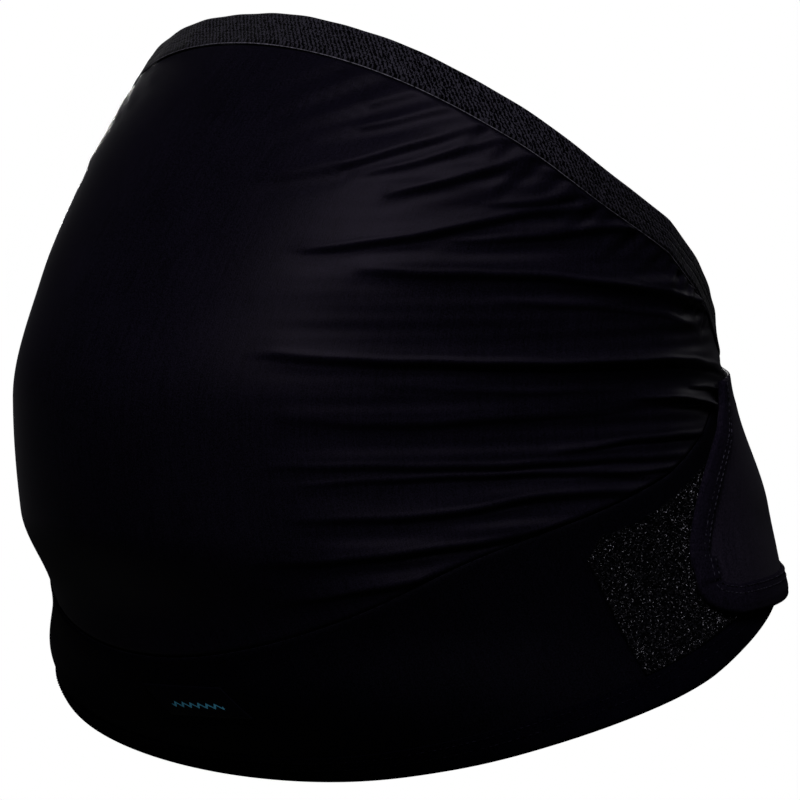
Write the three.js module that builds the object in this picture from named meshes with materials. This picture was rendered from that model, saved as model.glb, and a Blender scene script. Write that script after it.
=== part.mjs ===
import * as THREE from 'three';

// Maternity support belt in millimetres, +Z up, as it keeps its form when worn.
// The wearer faces -Y and +X is the wearer's left. The origin is on the body's axis,
// level with the lower edge of the belt at the hips.
// A turn is the angle round the body: 0 at the front, 90 at the left hip, 180 at the back.

// Main sizes
const beltHeight = 330;
const hipReach = 218;
const bellyReach = 204;
const backReach = 133;
const bellyBow = 1.06;

// Cloth and layers
const panelThickness = 1.4;
const elasticThickness = 2.2;
const bandThickness = 2;
const patchThickness = 1;
const tapeThickness = 1;
const hookThickness = 1;
const tabThickness = 1.6;
const labelThickness = 1;
const clothGap = 0.5;
const halvesGap = 0.8;

// Widths and ends
const hemTapeWidth = 11.5;
const tabTapeWidth = 10;
const backTapeWidth = 12.5;
const wingEnd = 145;
const patchStart = 76.5;
const patchEnd = 126;
const patchCorner = 8;
const padInset = 4;
const labelWidth = 50;
const labelHeight = 16;
const labelTurn = 8;
const labelLevel = -13;
const labelTilt = 2.5;
const foldRise = 3;
const foldWidth = 8;

// Colours
const clothColor = 0x0b0911;
const elasticColor = 0x26262d;
const loopColor = 0x08080a;
const labelColor = 0x0d0d12;

// How finely each piece is divided
const wrapSteps = 58;
const panelSteps = 22;

// Body under the belt: level above the origin as a share of beltHeight, then the reach
// to the side, front and back as shares of hipReach, bellyReach and backReach.
const bodyRows = [
  { level: -0.21, side: 1.0, front: 0.485, back: 0.99 },
  { level: -0.12, side: 0.955, front: 0.65, back: 1.0 },
  { level: -0.027, side: 0.885, front: 0.78, back: 0.99 },
  { level: 0.064, side: 0.794, front: 0.833, back: 0.985 },
  { level: 0.185, side: 0.729, front: 0.966, back: 0.96 },
  { level: 0.336, side: 0.7, front: 1.0, back: 0.775 },
  { level: 0.488, side: 0.705, front: 0.912, back: 0.69 },
  { level: 0.64, side: 0.706, front: 0.75, back: 0.68 },
  { level: 0.79, side: 0.66, front: 0.534, back: 0.68 },
  { level: 0.88, side: 0.62, front: 0.387, back: 0.68 },
];

// Edges of the front half by turn, as shares of beltHeight: the hem, the seam between
// band and panel, the rim, and how far the elastic reaches down from the rim.
const edgeRows = [
  { turn: 0, hem: -0.152, seam: 0.012, rim: 0.841, elastic: 0.038 },
  { turn: 20, hem: -0.142, seam: 0.034, rim: 0.829, elastic: 0.038 },
  { turn: 40, hem: -0.112, seam: 0.088, rim: 0.793, elastic: 0.039 },
  { turn: 60, hem: -0.07, seam: 0.158, rim: 0.73, elastic: 0.042 },
  { turn: 80, hem: -0.024, seam: 0.217, rim: 0.633, elastic: 0.043 },
  { turn: 100, hem: 0.025, seam: 0.289, rim: 0.536, elastic: 0.042 },
  { turn: 115, hem: 0.056, seam: 0.345, rim: 0.479, elastic: 0.04 },
  { turn: 130, hem: 0.083, seam: 0.353, rim: 0.43, elastic: 0.039 },
  { turn: 145, hem: 0.102, seam: 0.34, rim: 0.388, elastic: 0.036 },
];

// Edge of a tab of the back band, from its foot round its lower corner and up its front
// edge to the top: step along the edge, turn, and level as a share of beltHeight.
const tabRows = [
  { step: 0, turn: 100.5, level: 0.062 },
  { step: 0.05, turn: 95.5, level: 0.069 },
  { step: 0.1, turn: 92.3, level: 0.083 },
  { step: 0.17, turn: 90.9, level: 0.106 },
  { step: 0.28, turn: 91, level: 0.14 },
  { step: 0.43, turn: 93.1, level: 0.188 },
  { step: 0.58, turn: 97, level: 0.236 },
  { step: 0.72, turn: 102.5, level: 0.28 },
  { step: 0.84, turn: 108.5, level: 0.315 },
  { step: 0.93, turn: 111.3, level: 0.346 },
  { step: 1, turn: 111, level: 0.37 },
];
const tabCornerStep = 0.28;
const backFootLevel = 0.076;
const backTopLevel = 0.382;

// Top of the loop patch by turn, as a share of beltHeight
const patchRows = [
  { turn: 70, top: 0.175 },
  { turn: 78, top: 0.182 },
  { turn: 97, top: 0.23 },
  { turn: 110, top: 0.268 },
  { turn: 126, top: 0.3 },
];

// Folds of the belly panel: turns where each starts and ends, its level at the start,
// middle and end as shares of beltHeight, then rise and width as shares of foldRise and
// foldWidth. A fold with a groove is cut below its ridge by that share of its rise.
const foldRows = [
  { from: 46, to: 121, start: 0.527, middle: 0.515, end: 0.455, rise: 0.6, width: 1.1, groove: 0.5 },
  { from: 38, to: 124, start: 0.424, middle: 0.409, end: 0.378, rise: 0.9, width: 1.1, groove: 0.9 },
  { from: 34, to: 82, start: 0.545, middle: 0.6, end: 0.612, rise: 0.5, width: 0.9, groove: 0.6 },
  { from: 58, to: 88, start: 0.56, middle: 0.566, end: 0.578, rise: 0.5, width: 0.8, groove: 0.8 },
  { from: 38, to: 84, start: 0.339, middle: 0.335, end: 0.344, rise: 0.4, width: 1, groove: 0.6 },
  { from: 74, to: 108, start: 0.294, middle: 0.309, end: 0.306, rise: 0.5, width: 0.8, groove: 0.8 },
  { from: 36, to: 100, start: 0.281, middle: 0.279, end: 0.281, rise: 0.5, width: 0.9, groove: 0.8 },
  { from: 40, to: 92, start: 0.24, middle: 0.262, end: 0.238, rise: 0.4, width: 0.8, groove: 0.6 },
  { from: 30, to: 82, start: 0.17, middle: 0.195, end: 0.228, rise: 0.6, width: 0.9, groove: 1 },
  { from: 24, to: 62, start: 0.105, middle: 0.135, end: 0.165, rise: 0.4, width: 0.9, groove: 0.8 },
  { from: 18, to: 44, start: 0.69, middle: 0.725, end: 0.758, rise: 0.4, width: 0.9, groove: 0.5 },
  { from: 24, to: 56, start: 0.62, middle: 0.665, end: 0.71, rise: 0.4, width: 0.9, groove: 0.5 },
  { from: 36, to: 66, start: 0.63, middle: 0.658, end: 0.685, rise: 0.4, width: 0.8, groove: 0.5 },
];

const mix = (a, b, share) => a + (b - a) * share;
const radians = THREE.MathUtils.degToRad;
const levelHeight = (level) => level * beltHeight;

// Smooth value of one column of a table at a position, without overshoot between rows
function tableValue(rows, positionName, columnName, position) {
  const x = rows.map((row) => row[positionName]);
  const y = rows.map((row) => row[columnName]);
  const last = x.length - 1;
  const rise = (k) => (y[k + 1] - y[k]) / (x[k + 1] - x[k]);
  const slope = (k) => {
    if (k === 0) return rise(0);
    if (k === last) return rise(last - 1);
    if (rise(k - 1) * rise(k) <= 0) return 0;
    const before = x[k] - x[k - 1];
    const after = x[k + 1] - x[k];
    const weight = 2 * after + before;
    const otherWeight = after + 2 * before;
    return (weight + otherWeight) / (weight / rise(k - 1) + otherWeight / rise(k));
  };
  let k = 0;
  while (k < last - 1 && position > x[k + 1]) k += 1;
  const span = x[k + 1] - x[k];
  const s = THREE.MathUtils.clamp((position - x[k]) / span, 0, 1);
  const fromStart = (1 + 2 * s) * (1 - s) * (1 - s) * y[k] + s * (1 - s) * (1 - s) * span * slope(k);
  const fromEnd = s * s * (3 - 2 * s) * y[k + 1] + s * s * (s - 1) * span * slope(k + 1);
  return fromStart + fromEnd;
}

// The front edges leave the middle of the front level, so they are read from the turn squared
const edgeSquares = edgeRows.map((row) => ({ ...row, square: row.turn * row.turn }));
const edgeHeight = (turn, name) => levelHeight(tableValue(edgeSquares, 'square', name, turn * turn));
const hemHeight = (turn) => edgeHeight(turn, 'hem');
const seamHeight = (turn) => edgeHeight(turn, 'seam');
const rimHeight = (turn) => edgeHeight(turn, 'rim');
const elasticFoot = (turn) => rimHeight(turn) - edgeHeight(turn, 'elastic');
const patchTop = (turn) => levelHeight(tableValue(patchRows, 'turn', 'top', turn));

// Point on the body at a turn in degrees and a height
function bodyPoint(turn, height) {
  const level = height / beltHeight;
  const side = hipReach * tableValue(bodyRows, 'level', 'side', level);
  const front = bellyReach * tableValue(bodyRows, 'level', 'front', level);
  const back = backReach * tableValue(bodyRows, 'level', 'back', level);
  const ahead = Math.cos(radians(turn));
  const y = ahead > 0 ? -front * ahead ** bellyBow : -back * ahead;
  return new THREE.Vector3(side * Math.sin(radians(turn)), y, height);
}

// Point at a distance out from the body, square to its surface
function clothPoint(turn, height, offset) {
  const along = bodyPoint(turn + 0.05, height).sub(bodyPoint(turn - 0.05, height));
  const up = bodyPoint(turn, height + 0.1).sub(bodyPoint(turn, height - 0.1));
  const outward = along.cross(up).normalize();
  return bodyPoint(turn, height).addScaledVector(outward, offset);
}

// Degrees of turn that make one millimetre of cloth at a place
function turnPerMillimetre(turn, height) {
  return 1 / bodyPoint(turn + 0.5, height).distanceTo(bodyPoint(turn - 0.5, height));
}

// Layers from the body outwards
const patchInner = bandThickness + clothGap;
const tapeOuter = bandThickness + clothGap + tapeThickness;
const hookInner = patchInner + patchThickness + halvesGap;
const tabInner = hookInner + Math.max(hookThickness, tapeThickness) + clothGap;
const tabOuter = tabInner + tabThickness;

// Closed mesh from points and triangles, its faces turned outwards
function closedMesh(name, points, triangles, color) {
  const volume = triangles.reduce((sum, [a, b, c]) => {
    const normal = new THREE.Vector3().crossVectors(points[b], points[c]);
    return sum + points[a].dot(normal);
  }, 0);
  const outward = volume > 0 ? triangles : triangles.map(([a, b, c]) => [a, c, b]);
  const geometry = new THREE.BufferGeometry().setFromPoints(points);
  geometry.setIndex(outward.flat());
  geometry.computeVertexNormals();
  const material = new THREE.MeshStandardMaterial({ color, roughness: 0.9, metalness: 0 });
  const mesh = new THREE.Mesh(geometry, material);
  mesh.name = name;
  return mesh;
}

// Turns that divide a stretch of cloth where the band under it is divided too
const wrapStep = (2 * wingEnd) / wrapSteps;
function alignedTurns(from, to) {
  const turns = [from];
  const first = Math.ceil((from + 1) / wrapStep);
  for (let k = first; k * wrapStep < to - 1; k += 1) turns.push(k * wrapStep);
  return [...turns, to];
}

// The squares of cloth on one hip are split the other way, so that both hips match
const neither = () => false;
const firstHalf = (share) => share < 0.5;
const secondHalf = (share) => share > 0.5;

// Sheet of cloth: place(u, v) gives its turn, height and lift, inner and outer its two faces
function sheetMesh(name, columns, rows, place, inner, outer, color, mirrored = neither) {
  const points = [];
  for (const offset of [inner, outer]) {
    for (let j = 0; j <= rows; j += 1) {
      for (let i = 0; i <= columns; i += 1) {
        const spot = place(i / columns, j / rows);
        points.push(clothPoint(spot.turn, spot.height, offset + (spot.lift || 0)));
      }
    }
  }
  const layer = (columns + 1) * (rows + 1);
  const at = (side, i, j) => side * layer + j * (columns + 1) + i;
  const triangles = [];
  const quad = (a, b, c, d) => triangles.push([a, b, c], [a, c, d]);
  for (let j = 0; j < rows; j += 1) {
    for (let i = 0; i < columns; i += 1) {
      if (mirrored((i + 0.5) / columns)) {
        quad(at(1, i + 1, j), at(1, i + 1, j + 1), at(1, i, j + 1), at(1, i, j));
        quad(at(0, i, j + 1), at(0, i + 1, j + 1), at(0, i + 1, j), at(0, i, j));
      } else {
        quad(at(1, i, j), at(1, i + 1, j), at(1, i + 1, j + 1), at(1, i, j + 1));
        quad(at(0, i, j), at(0, i, j + 1), at(0, i + 1, j + 1), at(0, i + 1, j));
      }
    }
  }
  for (let i = 0; i < columns; i += 1) {
    quad(at(0, i, 0), at(0, i + 1, 0), at(1, i + 1, 0), at(1, i, 0));
    quad(at(0, i + 1, rows), at(0, i, rows), at(1, i, rows), at(1, i + 1, rows));
  }
  for (let j = 0; j < rows; j += 1) {
    quad(at(0, 0, j + 1), at(0, 0, j), at(1, 0, j), at(1, 0, j + 1));
    quad(at(0, columns, j), at(0, columns, j + 1), at(1, columns, j + 1), at(1, columns, j));
  }
  return closedMesh(name, points, triangles, color);
}

// Tape folded round the edge of a cloth of one thickness that starts at clothInner.
// Each node along the edge gives the place that lies a distance in from the edge.
function tapeMesh(name, nodes, width, clothInner, clothThickness, color, mirrored = neither) {
  const innerLeg = clothInner - clothGap - tapeThickness;
  const outerLeg = clothInner + clothThickness + clothGap;
  const fold = tapeThickness;
  const section = [
    new THREE.Vector2(0, innerLeg),
    new THREE.Vector2(width, innerLeg),
    new THREE.Vector2(width, innerLeg + tapeThickness),
    new THREE.Vector2(fold, innerLeg + tapeThickness),
    new THREE.Vector2(fold, outerLeg),
    new THREE.Vector2(width, outerLeg),
    new THREE.Vector2(width, outerLeg + tapeThickness),
    new THREE.Vector2(0, outerLeg + tapeThickness),
  ];
  const points = [];
  for (const insetAt of nodes) {
    for (const corner of section) {
      const spot = insetAt(corner.x);
      points.push(clothPoint(spot.turn, spot.height, corner.y + (spot.lift || 0)));
    }
  }
  const triangles = [];
  const steps = nodes.length - 1;
  const count = section.length;
  for (let k = 0; k < steps; k += 1) {
    for (let c = 0; c < count; c += 1) {
      const next = (c + 1) % count;
      const a = k * count + c;
      const b = k * count + next;
      const towardsEdge = section[next].x < section[c].x;
      if (towardsEdge !== mirrored((k + 0.5) / steps)) triangles.push([a, b, a + count], [b, b + count, a + count]);
      else triangles.push([a, b, b + count], [a, b + count, a + count]);
    }
  }
  for (const [a, b, c] of THREE.ShapeUtils.triangulateShape(section, [])) {
    triangles.push([a, c, b], [a + steps * count, b + steps * count, c + steps * count]);
  }
  return closedMesh(name, points, triangles, color);
}

// Height of the folds at a place on the belly panel, the same on both hips
function foldLift(turn, height) {
  const side = Math.abs(turn);
  return foldRows.reduce((sum, fold) => {
    const share = (side - fold.from) / (fold.to - fold.from);
    if (share <= 0 || share >= 1) return sum;
    const line = share < 0.5 ? mix(fold.start, fold.middle, 2 * share) : mix(fold.middle, fold.end, 2 * share - 1);
    const away = (height - levelHeight(line)) / (fold.width * foldWidth);
    const ridge = Math.exp(-away * away);
    const groove = fold.groove * Math.exp(-((away + 1.6) ** 2));
    return sum + fold.rise * foldRise * (ridge - groove) * Math.sin(Math.PI * share) ** 0.6;
  }, 0);
}

const wrapTurn = (u) => mix(-wingEnd, wingEnd, u);

// Belly panel: from the band's seam to the foot of the elastic, its folds flat at its edges
const panelPlace = (u, v) => {
  const turn = wrapTurn(u);
  const height = mix(seamHeight(turn) + clothGap / 2, elasticFoot(turn) - clothGap / 2, v);
  const inside = Math.min(1, 7 * v, 7 * (1 - v));
  return { turn, height, lift: foldLift(turn, height) * inside };
};
const bellyPanel = sheetMesh(
  'belly_panel', wrapSteps, panelSteps, panelPlace, 0, panelThickness, clothColor, firstHalf);

const elasticPlace = (u, v) => {
  const turn = wrapTurn(u);
  return { turn, height: mix(elasticFoot(turn) + clothGap / 2, rimHeight(turn), v) };
};
const topElastic = sheetMesh(
  'top_elastic', wrapSteps, 1, elasticPlace, 0, elasticThickness, elasticColor, firstHalf);

// Front band: its first row is the part inside the hem tape, the rest reach up to the seam
const bandRows = 6;
const bandPlace = (u, v) => {
  const turn = wrapTurn(u);
  const foot = hemHeight(turn) + tapeThickness + clothGap;
  const tapeTop = hemHeight(turn) + hemTapeWidth;
  if (v * bandRows < 1) return { turn, height: mix(foot, tapeTop, v * bandRows) };
  const above = (v * bandRows - 1) / (bandRows - 1);
  return { turn, height: mix(tapeTop, seamHeight(turn) - clothGap / 2, above) };
};
const frontBand = sheetMesh(
  'front_band', wrapSteps, bandRows, bandPlace, 0, bandThickness, clothColor, firstHalf);

const hemNodes = Array.from({ length: wrapSteps + 1 }, (_, k) => (distance) => {
  const turn = wrapTurn(k / wrapSteps);
  return { turn, height: hemHeight(turn) + distance };
});
const frontHemBinding = tapeMesh(
  'front_hem_binding', hemNodes, hemTapeWidth, 0, bandThickness, clothColor, firstHalf);

// Loop patch on a wing, just above the hem tape, with its upper front corner cut off
function loopPatch(name, side) {
  const turns = alignedTurns(patchStart, patchEnd);
  const columns = turns.length - 1;
  const place = (u, v) => {
    const turn = turns[Math.round(u * columns)];
    const foot = hemHeight(turn) + hemTapeWidth + clothGap;
    const cut = Math.max(0, patchCorner - (turn - patchStart) / turnPerMillimetre(turn, foot));
    return { turn: side * turn, height: mix(foot, patchTop(turn) - cut, v) };
  };
  return sheetMesh(name, columns, 6, place, patchInner, patchInner + patchThickness, loopColor);
}

// Woven label on the front band, a little tilted
const labelPlace = (u, v) => {
  const degrees = labelWidth * turnPerMillimetre(labelTurn, labelLevel);
  const turn = labelTurn + degrees * (u - 0.5);
  const height = labelLevel + labelHeight * (v - 0.5) * 0.75 + labelTilt * (u - 0.5);
  return { turn: turn - labelTilt * (v - 0.5), height };
};
const label = sheetMesh(
  'label', 5, 2, labelPlace, patchInner, patchInner + labelThickness, labelColor);

// Place on the edge of the back band, moved in from it by a distance along the cloth
function tabInset(step, distance) {
  const turnAt = (s) => tableValue(tabRows, 'step', 'turn', s);
  const heightAt = (s) => levelHeight(tableValue(tabRows, 'step', 'level', s));
  const before = Math.max(0, step - 0.02);
  const after = Math.min(1, step + 0.02);
  const degrees = turnPerMillimetre(turnAt(step), heightAt(step));
  const along = (turnAt(after) - turnAt(before)) / degrees;
  const up = heightAt(after) - heightAt(before);
  const length = Math.hypot(along, up);
  const turn = turnAt(step) + (distance * up * degrees) / length;
  return { turn, height: heightAt(step) - (distance * along) / length };
}

// Beyond the end of the wings the back band settles onto the body
function backLift(turn) {
  const share = THREE.MathUtils.smoothstep(turn, wingEnd + 3, 180);
  return -share * (tabInner - clothGap - tapeThickness);
}
const settle = (spot) => ({ ...spot, lift: backLift(Math.abs(spot.turn)) });

// Place on the back band: in from a tab's edge at a step, then a share of the way to the back
function backSpot(step, distance, share) {
  const edge = tabInset(step, distance);
  const foot = backFootLevel * beltHeight + distance;
  const levels = tabRows[tabRows.length - 1].level - tabRows[0].level;
  const up = (tableValue(tabRows, 'step', 'level', step) - tabRows[0].level) / levels;
  const turn = mix(edge.turn, 180, share);
  return settle({ turn, height: mix(edge.height, mix(foot, levelHeight(backTopLevel), up), share) });
}
const otherSide = (spot) => ({ ...spot, turn: 360 - spot.turn });

// Back band: columns run from the edge of one tab, round the back, to the other
const backColumns = 32;
const tabSteps = tabRows.map((row) => row.step);
const backPlace = (u, v) => {
  const step = tabSteps[Math.round(v * (tabSteps.length - 1))];
  const spot = backSpot(step, tapeThickness + clothGap, 1 - Math.abs(2 * u - 1));
  return u < 0.5 ? spot : otherSide(spot);
};
const backBand = sheetMesh(
  'back_band', backColumns, tabSteps.length - 1, backPlace, tabInner, tabOuter, clothColor, secondHalf);

// Tape on the front edge of a tab, ending above the corner that the hem tape goes round
function tabBinding(name, side) {
  const start = tabCornerStep + 0.01;
  const steps = [start, ...tabSteps.filter((step) => step > start)];
  const nodes = steps.map((step) => (distance) => {
    const spot = settle(tabInset(step, distance));
    return { ...spot, turn: side * spot.turn };
  });
  return tapeMesh(name, nodes, tabTapeWidth, tabInner, tabThickness, clothColor);
}

// Hem tape of the back band, from one tab's front edge round the back to the other's
const cornerNodes = tabSteps
  .filter((step) => step > 0 && step <= tabCornerStep)
  .reverse()
  .map((step) => (distance) => backSpot(step, distance, 0));
const footNodes = Array.from({ length: backColumns / 2 + 1 }, (_, k) => (distance) => (
  backSpot(0, distance, (2 * k) / backColumns)));
const nearNodes = [...cornerNodes, ...footNodes];
const farNodes = nearNodes
  .slice(0, -1)
  .reverse()
  .map((node) => (distance) => otherSide(node(distance)));
const backNodes = [...nearNodes, ...farNodes];
const backHemBinding = tapeMesh(
  'back_hem_binding', backNodes, backTapeWidth, tabInner, tabThickness, clothColor, secondHalf);

// Hook pad inside a tab, behind its front tape and held against the loop patch
const padFirstRow = 3;
const padRows = 3;
const padColumns = 4;
function hookPad(name, side) {
  const place = (u, v) => {
    const { step } = tabRows[padFirstRow + Math.round(v * padRows)];
    const column = 1 + Math.round(u * padColumns);
    const spot = column === 1
      ? tabInset(step, tabTapeWidth + padInset)
      : backSpot(step, tapeThickness + clothGap, (2 * column) / backColumns);
    return { turn: side * spot.turn, height: spot.height };
  };
  return sheetMesh(name, padColumns, padRows, place, hookInner, hookInner + hookThickness, loopColor);
}

const belt = new THREE.Group();
belt.name = 'maternity_support_belt';
belt.add(
  bellyPanel,
  topElastic,
  frontBand,
  frontHemBinding,
  loopPatch('loop_patch_left', 1),
  loopPatch('loop_patch_right', -1),
  label,
  backBand,
  tabBinding('tab_binding_left', 1),
  tabBinding('tab_binding_right', -1),
  backHemBinding,
  hookPad('hook_pad_left', 1),
  hookPad('hook_pad_right', -1),
);

export default belt;
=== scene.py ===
import math

import bpy
import numpy as np
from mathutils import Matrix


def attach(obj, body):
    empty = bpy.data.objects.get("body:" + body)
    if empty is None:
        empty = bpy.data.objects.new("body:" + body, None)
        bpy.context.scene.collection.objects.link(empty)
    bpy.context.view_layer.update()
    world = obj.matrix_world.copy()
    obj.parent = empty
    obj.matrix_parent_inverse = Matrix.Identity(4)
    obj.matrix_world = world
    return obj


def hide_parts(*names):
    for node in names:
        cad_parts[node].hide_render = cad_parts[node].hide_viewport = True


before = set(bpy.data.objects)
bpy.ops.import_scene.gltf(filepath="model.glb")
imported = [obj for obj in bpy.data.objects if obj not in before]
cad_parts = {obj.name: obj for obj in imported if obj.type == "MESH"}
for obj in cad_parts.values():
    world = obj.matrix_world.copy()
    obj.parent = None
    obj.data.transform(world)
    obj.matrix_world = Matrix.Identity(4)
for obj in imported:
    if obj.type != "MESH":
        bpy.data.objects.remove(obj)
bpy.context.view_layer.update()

# Belly panel
# One thin piece of stretch knit, domed over the belly and open at the top and bottom.
# It is sewn to the band below and the elastic above, and its ends are gathered at the
# hips, so that folds run from there towards the front and fade out.
belt_height = 0.330
hip_reach = 0.218
belly_reach = 0.204
back_reach = 0.133
belly_bow = 1.06
wing_end = 145
cloth_gap = 0.0005
panel_thickness = 0.0014

# The body under the belt: level is a share of belt_height above the origin, and side,
# front and back are shares of hip_reach, belly_reach and back_reach.
body_rows = {
    "level": [-0.21, -0.12, -0.027, 0.064, 0.185, 0.336, 0.488, 0.64, 0.79, 0.88],
    "side": [1.0, 0.955, 0.885, 0.794, 0.729, 0.7, 0.705, 0.706, 0.66, 0.62],
    "front": [0.485, 0.65, 0.78, 0.833, 0.966, 1.0, 0.912, 0.75, 0.534, 0.387],
    "back": [0.99, 1.0, 0.99, 0.985, 0.96, 0.775, 0.69, 0.68, 0.68, 0.68],
}

# Edges of the front half by turn round the body, in degrees from the front, as shares of
# belt_height: the hem, the seam, the rim, and how far the elastic reaches down from it.
edge_rows = {
    "turn": [0, 20, 40, 60, 80, 100, 115, 130, 145],
    "hem": [-0.152, -0.142, -0.112, -0.07, -0.024, 0.025, 0.056, 0.083, 0.102],
    "seam": [0.012, 0.034, 0.088, 0.158, 0.217, 0.289, 0.345, 0.353, 0.34],
    "rim": [0.841, 0.829, 0.793, 0.73, 0.633, 0.536, 0.479, 0.43, 0.388],
    "elastic": [0.038, 0.038, 0.039, 0.042, 0.043, 0.042, 0.04, 0.039, 0.036],
}


def table_curve(positions, values, at):
    """Smooth curve through a table's rows: a cubic piece between each two rows, with slopes that are
    weighted harmonic means of the rises on either side, so that it never overshoots."""
    positions = np.asarray(positions, float)
    values = np.asarray(values, float)
    at = np.asarray(at, float)
    gap = np.diff(positions)
    rise = np.diff(values) / gap
    slope = np.concatenate([rise[:1], np.zeros(len(gap) - 1), rise[-1:]])
    same_way = rise[:-1] * rise[1:] > 0
    before, after = rise[:-1][same_way], rise[1:][same_way]
    weight = (2 * gap[1:] + gap[:-1])[same_way]
    other_weight = (gap[1:] + 2 * gap[:-1])[same_way]
    slope[1:-1][same_way] = (weight + other_weight) / (weight / before + other_weight / after)
    k = np.clip(np.searchsorted(positions, at, side="left") - 1, 0, len(gap) - 1)
    s = np.clip((at - positions[k]) / gap[k], 0, 1)
    from_start = (1 + 2 * s) * (1 - s) ** 2 * values[k] + s * (1 - s) ** 2 * gap[k] * slope[k]
    from_end = s * s * (3 - 2 * s) * values[k + 1] + s * s * (s - 1) * gap[k] * slope[k + 1]
    return from_start + from_end


def edge_height(turn, name):
    """Height of a front edge: its table read by the square of the turn, so it is level at the front."""
    squares = np.square(edge_rows["turn"])
    return belt_height * table_curve(squares, edge_rows[name], np.square(turn))


def elastic_foot(turn):
    """Height of the elastic's lower edge: the rim less the elastic's reach."""
    return edge_height(turn, "rim") - edge_height(turn, "elastic")


def body_point(turn, height):
    """Half an ellipse in front and half behind, side * sin(turn) across and front or back * cos(turn)
    along, the front one a little squared, with reaches that change with the level."""
    level = height / belt_height
    side = hip_reach * table_curve(body_rows["level"], body_rows["side"], level)
    front = belly_reach * table_curve(body_rows["level"], body_rows["front"], level)
    back = back_reach * table_curve(body_rows["level"], body_rows["back"], level)
    angle = np.radians(turn)
    ahead = np.cos(angle)
    y = np.where(ahead > 0, -front * np.abs(ahead) ** belly_bow, -back * ahead)
    return np.stack([side * np.sin(angle), y, height + 0 * angle], -1)


def cloth_point(turn, height, offset):
    """The body's point moved out by the offset, along the cross product of its two slopes."""
    turn, height, offset = np.broadcast_arrays(turn, height, offset)
    along = body_point(turn + 0.05, height) - body_point(turn - 0.05, height)
    up = body_point(turn, height + 0.0001) - body_point(turn, height - 0.0001)
    outward = np.cross(along, up)
    outward /= np.linalg.norm(outward, axis=-1, keepdims=True)
    return body_point(turn, height) + outward * offset[..., None]


# Folds of the belly panel. The crease of each runs through four levels, shares of
# belt_height, at even turns from its start to its end. The cloth above it swells by the
# rise over the width, both in millimetres, and drops steeply to the crease. It dips below
# the crease by the dip and rolls over it softly by the roll, both shares of the rise.
fold_names = ("start", "end", "level_1", "level_2", "level_3", "level_4", "rise", "width", "dip", "roll")
fold_rows = [
    (42, 126, 0.518, 0.506, 0.470, 0.436, 2.2, 9.0, 0.10, 0.55),
    (32, 128, 0.412, 0.397, 0.391, 0.357, 3.0, 10.0, 0.35, 0.25),
    (32, 84, 0.541, 0.560, 0.592, 0.600, 1.8, 8.0, 0.25, 0.45),
    (54, 94, 0.556, 0.560, 0.570, 0.566, 1.5, 7.0, 0.30, 0.45),
    (36, 90, 0.330, 0.324, 0.330, 0.338, 1.0, 10.0, 0.10, 0.80),
    (72, 112, 0.285, 0.294, 0.296, 0.298, 1.7, 7.0, 0.40, 0.40),
    (34, 106, 0.272, 0.270, 0.270, 0.270, 1.6, 8.0, 0.35, 0.35),
    (38, 98, 0.248, 0.258, 0.256, 0.226, 1.4, 6.0, 0.35, 0.35),
    (36, 94, 0.202, 0.208, 0.230, 0.222, 1.6, 8.0, 0.35, 0.40),
    (28, 88, 0.146, 0.158, 0.182, 0.222, 1.7, 8.0, 0.70, 0.50),
    (28, 68, 0.096, 0.112, 0.132, 0.162, 1.4, 7.0, 0.70, 0.50),
    (98, 128, 0.360, 0.355, 0.347, 0.338, 1.2, 4.0, 0.40, 0.40),
    (84, 124, 0.349, 0.344, 0.330, 0.312, 1.8, 5.0, 0.40, 0.40),
    (92, 126, 0.338, 0.334, 0.322, 0.305, 1.3, 3.6, 0.40, 0.40),
    (76, 108, 0.252, 0.256, 0.258, 0.256, 1.1, 4.5, 0.40, 0.40),
    (18, 46, 0.688, 0.706, 0.728, 0.752, 1.0, 8.0, 0.10, 0.90),
    (24, 52, 0.678, 0.694, 0.712, 0.730, 0.9, 6.0, 0.15, 0.80),
    (20, 58, 0.624, 0.646, 0.676, 0.708, 1.4, 8.0, 0.30, 0.60),
    (36, 62, 0.634, 0.652, 0.674, 0.694, 1.1, 6.0, 0.25, 0.60),
    (42, 68, 0.612, 0.630, 0.650, 0.672, 1.3, 6.0, 0.30, 0.60),
    (58, 82, 0.600, 0.606, 0.618, 0.634, 1.2, 5.0, 0.35, 0.50),
    (14, 38, 0.706, 0.728, 0.756, 0.782, 0.9, 8.0, 0.10, 0.90),
    (10, 32, 0.736, 0.756, 0.778, 0.798, 0.8, 7.0, 0.10, 0.90),
    (62, 104, 0.478, 0.470, 0.452, 0.430, 0.7, 8.0, 0.05, 0.80),
    (50, 84, 0.372, 0.366, 0.362, 0.360, 0.6, 8.0, 0.05, 0.80),
]
far_hip_delay = 12
far_hip_share = 0.4
drop_share = 0.10
fold_waver = 0.0003

# Short creases under the elastic, which run down and forward from it: turn at the
# elastic's foot, length and depth in millimetres.
pucker_rows = [
    (56, 20, 0.7), (61, 16, 0.9), (66, 28, 1.3), (70, 16, 1.1), (73, 12, 0.9), (77, 24, 1.5), (79.5, 14, 1.0),
    (84, 26, 1.7), (87, 16, 1.3), (89.5, 20, 1.5), (92, 12, 1.1), (95, 18, 1.4), (98, 12, 1.1),
    (101, 20, 1.3), (105, 14, 1.0), (109, 18, 1.1),
]
pucker_lean = 250
pucker_width = 0.9
seam_roll = 0.0022
seam_drop = 1.15 * panel_thickness
seam_tuck = 0.003
ripple_depth = 0.00013
hip_press_depth = 0.0020
hip_press_turns = (98, 122)
hip_press_levels = (0.355, 0.435)


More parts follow.
